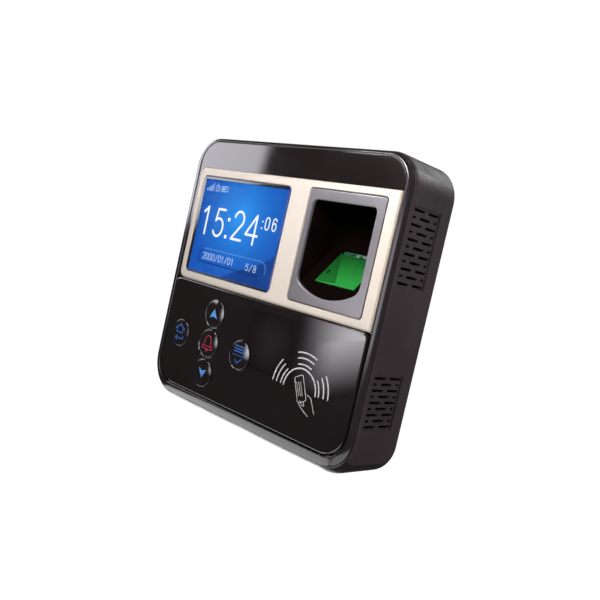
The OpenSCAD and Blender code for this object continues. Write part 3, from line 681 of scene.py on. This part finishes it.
# glossy black border round the image, on the lens's face
bord = loft("screen_lens_border", [(0.245, rr(-48.55, 2.95, -1.25, 38.4, 1.85, 10)), (0.17, rr(-48.5, 2.9, -1.2, 38.35, 1.8, 10)), (0.15, rr(-48.35, 2.75, -1.05, 38.2, 1.7, 10)),
                                  (0.15, rr(-47.15, 2.6, -0.85, 37.55, 0.6, 10)), (0.17, rr(-47.05, 2.52, -0.8, 37.45, 0.5, 10)), (0.245, rr(-47.0, 2.5, -0.78, 37.42, 0.45, 10))], ("mask",), closed=True)
shade(bord, 40)
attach(bord, "case")
img = loft("screen_image", [(1.245, rr(-48.6, 3.0, -1.3, 38.5, 0.5, 4)), (1.18, rr(-48.6, 3.0, -1.3, 38.5, 0.5, 4))], ("screen",))
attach(img, "case")
SC = lambda x, z: 1.18
shadow = many("screen_shading", [patch([(2.9, 13.4), (2.9, -1.2), (-27.5, -1.2), (-22, 1.6), (-14.5, 4.6), (-6, 7.8), (-1.5, 10.4)], SC, 0.012, 0.02, 2)], ("navy",))
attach(shadow, "case")


def glyph(ch, x, z, w, h):
    """strokes of a digit in the box with lower left corner (x, z)"""
    S = lambda pts: [(x + a * w, z + b * h) for a, b in pts]
    A = lambda cx, cz, rx, rz, a0, a1, n=18: arc(x + cx * w, z + cz * h, rx * w, a0, a1, n, rz * h)
    if ch == "0":
        return [A(0.5, 0.70, 0.5, 0.30, 0, 180) + A(0.5, 0.30, 0.5, 0.30, 180, 360) + [(x + w, z + 0.70 * h)]]
    if ch == "1":
        return [S([(0.08, 0.80), (0.36, 0.90), (0.52, 1.0), (0.52, 0.0)])]
    if ch == "2":
        return [A(0.5, 0.72, 0.46, 0.28, 165, -25) + S([(0.0, 0.02), (1.0, 0.02)])]
    if ch == "3":
        return [A(0.46, 0.74, 0.42, 0.26, 150, -80) + A(0.44, 0.26, 0.52, 0.27, 85, -150)]
    if ch == "4":
        return [S([(0.74, 0.0), (0.74, 1.0), (0.0, 0.30), (1.0, 0.30)])]
    if ch == "5":
        return [S([(0.95, 1.0), (0.22, 1.0), (0.12, 0.55)]) + A(0.47, 0.33, 0.50, 0.33, 120, -150)]
    if ch == "6":
        return [A(0.5, 0.31, 0.48, 0.31, 180, -180, 30), S([(0.02, 0.31), (0.03, 0.62)]) + A(0.52, 0.70, 0.48, 0.30, 165, 25)]
    if ch == "8":
        return [A(0.5, 0.75, 0.40, 0.25, 0, 360, 26), A(0.5, 0.25, 0.48, 0.26, 0, 360, 26)]
    if ch == "/":
        return [S([(0.05, -0.05), (0.95, 1.05)])]
    return []


def digits(txt, x, z, w, h, pitch, stroke):
    out = []
    for i, ch in enumerate(txt):
        for pth in glyph(ch, x + i * pitch, z, w, h):
            out.append(ribbon(pth, stroke, SC, 0.03, 0.02, max(0.25, stroke * 0.45)))
    return out


def dot(x, z, r):
    return prism(disc(x, z, r, 20), 1.145, 1.2)


big = digits("1", -45.4, 15.0, 5.2, 11.4, 1, 0.98) + digits("5", -37.5, 15.0, 5.9, 11.0, 1, 0.98)
big += digits("2", -25.6, 15.0, 6.0, 11.4, 1, 0.98) + digits("4", -17.6, 14.7, 6.9, 11.4, 1, 0.98)
big += [dot(-28.7, 22.5, 0.8), dot(-28.9, 15.5, 0.8)]
big += [dot(-9.1, 24.2, 0.34), dot(-9.1, 21.6, 0.34)]
big += digits("06", -7.4, 21.3, 2.1, 4.7, 3.9, 0.52)
small = digits("2000/01/01", -40.2, 4.9, 1.35, 2.6, 2.0, 0.30)
small += digits("5/8", -13.3, 4.5, 1.55, 2.5, 2.3, 0.32)     # a number in place of a word
for i in range(4):                         # signal bars, a clock dial and a battery in place of status words
    small.append(ribbon([(-46.4 + i * 1.2, 33.0), (-46.4 + i * 1.2, 33.6 + 0.65 * i)], 0.5, SC, 0.03, 0.02, 0.3))
small.append(ribbon(arc(-39.9, 34.2, 1.25, 0, 345, 26), 0.32, SC, 0.03, 0.02, 0.3))
small.append(ribbon([(-39.9, 34.9), (-39.9, 34.2), (-39.4, 33.9)], 0.28, SC, 0.03, 0.02, 0.3))
small.append(ribbon([(-37.3, 33.2), (-33.6, 33.2), (-33.6, 35.2), (-37.3, 35.2)], 0.32, SC, 0.03, 0.02, 0.3, closed=True))
small.append(ribbon([(-36.6, 34.2), (-35.2, 34.2)], 0.8, SC, 0.03, 0.02, 0.3))
dg = many("screen_digits", big, ("digit",))
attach(dg, "case")
sm = many("screen_small_marks", small, ("text",))
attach(sm, "case")
pill = [(-40.3, 9.2), (-5.4, 9.2)] + arc(-5.2, 5.9, 3.2, 88, -25, 18)
pl = many("screen_date_frame", [ribbon(pill, 0.30, SC, 0.025, 0.02)], ("pill",))
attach(pl, "case")
pl2 = many("screen_date_shade", [ribbon([(-40.5, 9.0)] + arc(-40.6, 5.9, 2.5, 95, 250, 16) + [(-6.0, 3.1)], 0.5, SC, 0.022, 0.02)], ("navyline",))
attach(pl2, "case")

# ---------------------------------------------------------------- finger bezel
def win_outline(g, n=12):
    """finger window grown by g: straight sides, small top corners and a curved sill"""
    x0, x1, top, low = 15.4 - g, 44.4 + g, 35.4 + g, 1.8 - g
    R = 24.5 + g
    cz, cx = low + R, 29.9
    h = (x1 - x0) / 2
    rt = 2.0 + g
    zs = cz - math.sqrt(max(R * R - h * h, 0.01))
    a = math.degrees(math.asin(h / R))
    f = 2.4
    pts = [(x1, zs + f)] + [(x1 - rt + rt * math.cos(t), top - rt + rt * math.sin(t)) for t in smooth(0, math.pi / 2, n)]
    pts += [(x0 + rt + rt * math.cos(t), top - rt + rt * math.sin(t)) for t in smooth(math.pi / 2, math.pi, n)]
    pts += [(x0, zs + f)]
    P0, P1, P2 = (x0, zs + f), (x0, zs), (cx - R * math.sin(math.radians(a * 0.86)), cz - R * math.cos(math.radians(a * 0.86)))
    for t in smooth(0, 1, 8)[1:]:
        pts.append(tuple((1 - t) ** 2 * P0[i] + 2 * t * (1 - t) * P1[i] + t * t * P2[i] for i in (0, 1)))
    for t in smooth(-a * 0.86, a * 0.86, 30)[1:]:
        pts.append((cx + R * math.sin(math.radians(t)), cz - R * math.cos(math.radians(t))))
    P0, P1, P2 = pts[-1], (x1, zs), (x1, zs + f)
    for t in smooth(0, 1, 8)[1:-1]:
        pts.append(tuple((1 - t) ** 2 * P0[i] + 2 * t * (1 - t) * P1[i] + t * t * P2[i] for i in (0, 1)))
    return pts


bz = loft("finger_bezel_frame", [(1.25, rr(13.1, 47.8, -1.55, 39.2, 1.2, 8)), (0.42, rr(13.1, 47.8, -1.55, 39.2, 1.2, 8)), (0.26, rr(13.2, 47.7, -1.45, 39.1, 1.15, 8)), (0.2, rr(13.4, 47.5, -1.25, 38.9, 1.0, 8))], ("bezel",))
cut = []
for u, g in ((2.5, 0.0), (0.78, 0.0), (0.55, 0.04), (0.38, 0.14), (0.27, 0.3), (0.20, 0.5), (-0.5, 0.5)):
    cut.append((u, win_outline(g)))
boolean(bz, loft("c", cut))
clean(bz)
shade(bz, 30)
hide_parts("fp_bezel")
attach(bz, "case")

# ---------------------------------------------------------------- prism: liner with painted green light and shade behind a glass face
X0, X1 = 21.0, 39.5
A, T, Cn = (3.6, 6.9), (15.5, 19.4), (15.5, 6.9)
tilt = Vector((T[1] - A[1], -(T[0] - A[0]))).normalized()   # (u, z) normal pointing into the prism


def inset(p, k):
    return (p[0] + tilt.x * k, p[1] + tilt.y * k)


t = 0.28
Ai, Ti = inset(A, 0.62), inset(T, 0.62)
# sensing face glows brightest; the back and side faces carry painted shade that darkens upward
green = many("prism_sensing_field", [alongx(X0 + t, X1 - t, [(Ai[0] + 1.2, A[1]), (Cn[0], A[1]), (Cn[0], A[1] + t), (Ai[0] + 1.2 + t, A[1] + t)])], ("green_hi",))
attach(green, "case")
back = many("prism_back_field", [alongx(X0 + t, X1 - t, [(Cn[0] - t, A[1] + t + 0.01), (Cn[0], A[1] + t + 0.01), (Cn[0], T[1] - 1.2), (Cn[0] - t, T[1] - 1.5)])], ("green_lo",))
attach(back, "case")
sides = many("prism_side_fields", [alongx(a, b, [(Ai[0] + 0.5, A[1] + 0.02), (Cn[0], A[1] + 0.02), (Cn[0], T[1] - 0.75)]) for a, b in ((X0, X0 + t - 0.01), (X1 - t + 0.01, X1))], ("green_mid",))
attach(sides, "case")
# a darker glowing spot on the side field
spot = many("prism_side_spot", [alongx(X0 + t - 0.005, X0 + t + 0.06, [(9.9 + 1.1 * math.cos(2 * math.pi * i / 20), 11.1 + 0.62 * math.sin(2 * math.pi * i / 20) + 0.5 * math.cos(2 * math.pi * i / 20)) for i in range(20)])], ("green_spot",))
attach(spot, "case")
# glowing strip at the prism's top back edge: a painted glint
gl = many("prism_edge_painted_glint", [ubox(31.5, 38.6, Cn[0] - t - 0.12, Cn[0] - t - 0.02, 18.55, 18.85)], ("glint",))
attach(gl, "case")
pane = many("prism_touch_glass", [alongx(X0 + 0.01, X1 - 0.01, [A, T, inset(T, 0.6), inset(A, 0.6)])], ("prismglass",))
bevel(pane, 0.08, 2, 30)
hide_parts("prism")
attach(pane, "case")

# ---------------------------------------------------------------- keys
def key_profile():
    sr, top = 40.0, -0.55
    p = [(4.4, 1.85), (4.36, 1.95), (4.2, 2.0), (2.95, 2.0), (2.9, 2.15), (2.9, 5.8), (2.85, 5.93), (2.75, 5.95), (2.25, 5.95), (2.17, 5.9), (2.15, 5.75), (2.15, 5.5), (0.10, 5.5)]
    e = 5.28
    u_e = top + sr - math.sqrt(sr * sr - e * e)
    for i in range(1, 7):
        a = math.pi / 2 * i / 6
        p.append((u_e + 0.22 - 0.22 * math.sin(a), 5.5 - 0.22 * (1 - math.cos(a))))
    for i in range(1, 13):
        r = e * (1 - i / 13)
        p.append((top + sr - math.sqrt(sr * sr - r * r), r))
    p.append((top, 0.05))
    return p


key_depth = {}
for name, (x, z) in KEYS.items():
    k = many(name + "_cap", [lathe(x, z, key_profile(), 72)], ("key",))
    shade(k, 50)
    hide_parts(name)
    key_depth[name] = over(bvh(k))
    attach(k, name + "_body")

d = key_depth["key_up"]
g = many("key_up_arrow", [patch([(-23.6, -13.3), (-25.8, -17.2), (-23.3, -16.3), (-21.2, -17.0)], d, 0.03, 0.05, 4)], ("icon_blue",))
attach(g, "key_up_body")
d = key_depth["key_down"]
g = many("key_down_arrow", [patch([(-22.9, -41.2), (-20.9, -37.6), (-23.3, -38.4), (-25.8, -37.4)], d, 0.03, 0.05, 4)], ("icon_blue",))
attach(g, "key_down_body")
d = key_depth["key_bell"]
g = many("key_bell_print", [
    ribbon([(-26.0, -28.3), (-25.5, -27.4), (-25.35, -26.4)] + arc(-23.55, -26.0, 1.75, 180, 0, 16) + [(-21.75, -26.4), (-21.6, -27.4), (-21.1, -28.3)], 0.36, d),
    ribbon([(-26.7, -28.45), (-20.4, -28.45), (-20.4, -29.55), (-26.7, -29.55)], 0.34, d, closed=True),
    ribbon(arc(-23.55, -29.7, 0.75, 180, 360, 12), 0.34, d)], ("icon_red",))
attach(g, "key_bell_body")
d = key_depth["key_home"]
g = many("key_home_print", [
    ribbon([(-45.3, -25.7), (-42.5, -23.8), (-39.7, -25.7)], 0.42, d),
    ribbon([(-44.4, -25.5), (-44.4, -27.2), (-40.6, -27.2), (-40.6, -25.5)], 0.42, d),
    ribbon([(-39.9, -28.3), (-39.9, -29.6), (-44.8, -29.6)], 0.42, d), ribbon([(-43.5, -28.7), (-44.8, -29.6), (-43.5, -30.5)], 0.42, d)], ("icon_blue_dim",))
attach(g, "key_home_body")
d = key_depth["key_menu"]
g = many("key_menu_print", [ribbon([(-7.6, zz), (-1.2, zz)], 0.42, d) for zz in (-23.9, -24.95, -26.0)]
         + [ribbon([(-8.1, -27.4), (-0.7, -27.4)], 0.2, d)]
         + [ribbon([(-6.2, -29.2), (-4.9, -30.4), (-2.6, -28.5)], 0.45, d)], ("icon_blue_dim",))
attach(g, "key_menu_body")

# ---------------------------------------------------------------- card reader mark
cx, cz = 28.65, -31.3
mk = [ribbon(arc(cx, cz, 7.8, 2, 179, 40), 0.52, on_panel)]
for r in (9.25, 11.4, 13.4):
    for a0, a1 in ((3, 37), (68, 107), (141, 178)):
        mk.append(ribbon(arc(cx, cz, r, a0, a1, 16), 0.52, on_panel))
mk = many("card_mark_waves", mk, ("icon_white",))
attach(mk, "case")


def roundpoly(pts, r=0.9, n=5):
    out = []
    k = len(pts)
    for i in range(k):
        p0, p1, p2 = (Vector(pts[(i - 1) % k]), Vector(pts[i]), Vector(pts[(i + 1) % k]))
        a, b = p1 + (p0 - p1).normalized() * r, p1 + (p2 - p1).normalized() * r
        for s in smooth(0, 1, n):
            q = a * (1 - s) ** 2 + p1 * 2 * s * (1 - s) + b * s * s
            out.append((q.x, q.y))
    return out


card = [(25.5, -27.3), (29.1, -25.4), (33.0, -33.6), (29.4, -35.6)]
hand = [ribbon(roundpoly(card), 0.26, on_panel, closed=True)]
ax, az = (27.2, -28.4), (30.9, -33.4)
for i in range(3):                         # plain lines where the card carries a word
    f0 = i * 0.9
    hand.append(ribbon([(26.9 + f0, -28.6 + f0 * 0.25), (29.2 + f0 * 0.9, -33.0 + f0 * 0.25)], 0.2, on_panel))
hand.append(ribbon([(33.1, -31.6), (34.9, -32.3), (36.0, -34.2), (37.6, -37.0)], 0.26, on_panel))
hand.append(ribbon([(29.9, -35.7), (32.2, -37.2), (35.0, -38.6)], 0.26, on_panel))
hand.append(ribbon([(30.2, -34.4), (31.3, -35.6), (32.5, -35.8), (32.0, -34.6)], 0.24, on_panel))
hd = many("card_mark_hand", hand, ("icon_white",))
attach(hd, "case")

# ---------------------------------------------------------------- finishes of the carried-over nodes
FIN = {
    "well": ["finger_well"], "innerblack": ["sensor_housing", "cell_holder"],
    "steel": ["wall_plate", "speaker_frame"], "screw": ["housing_screws", "board_screws", "sensor_screws", "lock_screw"],
    "board": ["sensor_led_board", "sensor_board", "keypad_board", "main_board", "antenna_board"],
    "chip": ["processor", "memory_chips", "power_inductors", "buzzer", "stacking_header", "tamper_switch", "sensor_lens"],
    "nylon": ["flex_connectors", "wall_headers", "tamper_plunger", "lcd_backlight"], "copper": ["antenna_coil"],
    "polyimide": ["lcd_flex", "sensor_flex"], "silicone": ["key_mat"], "relay": ["lock_relay"],
    "alu": ["capacitors", "coin_cell"], "cone": ["speaker_cone"], "led": ["keypad_leds"], "mask": ["lcd_panel"],
}
for key, names in FIN.items():
    for nme in names:
        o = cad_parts[nme]
        o.data.materials.clear()
        o.data.materials.append(M[key])

# ---------------------------------------------------------------- studio
def card_light(name, centre, facing, w, h, strength, soft=(0.0, 0.0, 0.0, 0.0), colour=(1, 1, 1), diffuse=False):
    """emissive panel at centre (m) that faces a point; soft = share of left, right, bottom, top that fades out"""
    me = bpy.data.meshes.new(name)
    me.from_pydata([(-w / 2, -h / 2, 0), (w / 2, -h / 2, 0), (w / 2, h / 2, 0), (-w / 2, h / 2, 0)], [], [(0, 1, 2, 3)])
    o = bpy.data.objects.new(name, me)
    scene.collection.objects.link(o)
    zax = (Vector(facing) - Vector(centre)).normalized()
    xax = Vector((0, 0, 1)).cross(zax).normalized()
    yax = zax.cross(xax)
    o.matrix_world = Matrix.Translation(centre) @ Matrix(((xax.x, yax.x, zax.x), (xax.y, yax.y, zax.y), (xax.z, yax.z, zax.z))).to_4x4()
    m = bpy.data.materials.new(name)
    m.use_nodes = True
    nt = m.node_tree
    nt.nodes.clear()
    out = nt.nodes.new("ShaderNodeOutputMaterial")
    em = nt.nodes.new("ShaderNodeEmission")
    em.inputs["Color"].default_value = (*colour, 1)
    nt.links.new(em.outputs[0], out.inputs[0])
    tc = nt.nodes.new("ShaderNodeTexCoord")
    sep = nt.nodes.new("ShaderNodeSeparateXYZ")
    nt.links.new(tc.outputs["Object"], sep.inputs[0])
    prod = None
    for i, share in enumerate(soft):
        if share <= 0:
            continue
        axis, half = (sep.outputs[0], w / 2) if i < 2 else (sep.outputs[1], h / 2)
        mr = nt.nodes.new("ShaderNodeMapRange")
        mr.interpolation_type = "SMOOTHSTEP"
        edge = -half if i in (0, 2) else half
        inner = edge + share * 2 * half * (1 if i in (0, 2) else -1)
        mr.inputs["From Min"].default_value, mr.inputs["From Max"].default_value = min(edge, inner), max(edge, inner)
        mr.inputs["To Min"].default_value, mr.inputs["To Max"].default_value = (0, 1) if i in (0, 2) else (1, 0)
        nt.links.new(axis, mr.inputs["Value"])
        if prod is None:
            prod = mr.outputs[0]
        else:
            mu = nt.nodes.new("ShaderNodeMath")
            mu.operation = "MULTIPLY"
            nt.links.new(prod, mu.inputs[0])
            nt.links.new(mr.outputs[0], mu.inputs[1])
            prod = mu.outputs[0]
    if prod is None:
        em.inputs["Strength"].default_value = strength
    else:
        mu = nt.nodes.new("ShaderNodeMath")
        mu.operation = "MULTIPLY"
        nt.links.new(prod, mu.inputs[0])
        mu.inputs[1].default_value = strength
        nt.links.new(mu.outputs[0], em.inputs["Strength"])
    me.materials.append(m)
    o.visible_camera = False
    o.visible_diffuse = diffuse
    o.visible_shadow = False
    return o


def direction(az, el, dist, at=(0.0, -0.026, 0.0)):
    """point at azimuth az (0 is straight out of the front, + towards the left) and elevation el"""
    a, e = math.radians(az), math.radians(el)
    return (at[0] - math.sin(a) * math.cos(e) * dist, at[1] - math.cos(a) * math.cos(e) * dist, at[2] + math.sin(e) * dist)


FC = (0.0, -0.026, 0.02)
# large soft panel at the left: its right edge makes the sharp reflection on the upper panel
LAV = (0.95, 0.925, 1.0)
card_light("softbox_left", direction(66.7, 12.0, 0.9, (-0.017, -0.026, 0.03)), FC, 0.62, 0.42, 7.6, (0.035, 0, 0.12, 0), LAV)
# front right: the key domes and the curved right part of the keypad panel
KC = (0.035, -0.026, -0.012)
card_light("softbox_front", direction(20.5, 1.0, 0.8, KC), KC, 0.42, 0.30, 6.0, (0.2, 0.12, 0.25, 0.3), LAV)
# low and narrow, for the cloudy reflection on the keypad panel's flat upper right
card_light("cloud_low", direction(36.2, -5.2, 0.8, KC), KC, 0.20, 0.215, 10.5, (0.1, 0.5, 0.55, 0.1), LAV)
card_light("cloud_faint", direction(44.0, -7.6, 0.8, (0, -0.026, -0.015)), (0, -0.026, -0.015), 0.075, 0.11, 0.24, (0.5, 0.5, 0.5, 0.5), LAV)
# above: a lobe for the satin bezel and the trim, out of the flat panels' sight
card_light("softbox_high", direction(31, 23, 0.25, (0.03, -0.026, 0.02)), (0.03, -0.026, 0.02), 0.12, 0.05, 95.0, (0.2, 0.2, 0.2, 0.2), LAV)
# low bounce panels for the chin
card_light("bounce_front", direction(62, -42, 0.5, (0, -0.026, -0.05)), (0, -0.026, -0.05), 0.55, 0.28, 4.9, (0.1, 0.1, 0, 0.06))
card_light("bounce_corner", direction(8, -42, 0.5, (0.04, -0.02, -0.05)), (0.04, -0.02, -0.05), 0.36, 0.30, 3.6, (0.15, 0.1, 0, 0.1))
card_light("bounce_left", direction(118, -31, 0.5, (0, -0.026, -0.05)), (0, -0.026, -0.05), 0.56, 0.46, 4.5, (0.1, 0.1, 0, 0.1))
# behind and right: the grain of the right side and the top corner
card_light("rim_back", direction(-172, 38, 0.7), (0.04, -0.013, 0.04), 0.5, 0.34, 4.6, (0.2, 0.2, 0.2, 0.2))
card_light("rim_spark", direction(-31, 69, 0.6), (0.05, -0.02, 0.05), 0.16, 0.12, 7.0, (0.2, 0.2, 0.2, 0.2))
card_light("side_back", direction(-146, 10, 0.8), (0.056, -0.013, 0.02), 0.5, 0.22, 0.55, (0.2, 0.2, 0.3, 0.2))


def area(name, loc, aim, size, power, glossy=False):
    li = bpy.data.lights.new(name, "AREA")
    li.shape, li.size, li.energy = "SQUARE", size, power
    o = bpy.data.objects.new(name, li)
    scene.collection.objects.link(o)
    o.location = loc
    o.rotation_euler = (Vector(aim) - Vector(loc)).to_track_quat("-Z", "Y").to_euler()
    o.visible_glossy = glossy
    o.visible_camera = False
    return o


area("key_fill", (0.075, -0.155, 0.115), (0.01, -0.026, 0.01), 0.07, 0.40)
area("side_fill", (0.55, -0.25, 0.30), (0.05, -0.013, -0.01), 0.4, 1.3)
area("low_fill", (0.36, -0.06, -0.15), (0.055, -0.013, -0.045), 0.2, 1.0)

world = bpy.data.worlds.new("studio")
scene.world = world
world.use_nodes = True
nt = world.node_tree
nt.nodes.clear()
wo = nt.nodes.new("ShaderNodeOutputWorld")
bg = nt.nodes.new("ShaderNodeBackground")
nt.links.new(bg.outputs[0], wo.inputs[0])
lp = nt.nodes.new("ShaderNodeLightPath")
mx = nt.nodes.new("ShaderNodeMapRange")    # mirror-like rays see a dark room
mx.inputs["To Min"].default_value, mx.inputs["To Max"].default_value = 0.32, 0.075
nt.links.new(lp.outputs["Is Glossy Ray"], mx.inputs["Value"])
mc = nt.nodes.new("ShaderNodeMath")
mc.operation = "MAXIMUM"
nt.links.new(mx.outputs[0], mc.inputs[0])
nt.links.new(lp.outputs["Is Camera Ray"], mc.inputs[1])
nt.links.new(mc.outputs[0], bg.inputs["Strength"])
bg.inputs["Color"].default_value = (1, 1, 1, 1)

# plain pale floor, well below the part because it hangs on a wall
me = bpy.data.meshes.new("floor")
me.from_pydata([(-4, -4, 0), (4, -4, 0), (4, 4, 0), (-4, 4, 0)], [], [(0, 1, 2, 3)])
floor = bpy.data.objects.new("floor", me)
scene.collection.objects.link(floor)
floor.location = (0, 0, -0.20)
fm, fnt, fb, ftc = new_mat("floor_paper")
fnt.links.new(ramp(fnt, noise(fnt, ftc, 1.5, 2.0), [(0.3, (0.93, 0.93, 0.93)), (0.7, (0.95, 0.95, 0.95))]), fb.inputs["Base Color"])
fb.inputs["Roughness"].default_value = 0.9
fb.inputs["Specular IOR Level"].default_value = 0.0
fb.inputs["Emission Color"].default_value = (1, 1, 1, 1)
fb.inputs["Emission Strength"].default_value = 0.74
me.materials.append(fm)
floor.visible_glossy = False
floor.visible_diffuse = False

scene.view_settings.view_transform = "Standard"
scene.view_settings.look = "None"

bpy.context.view_layer.update()
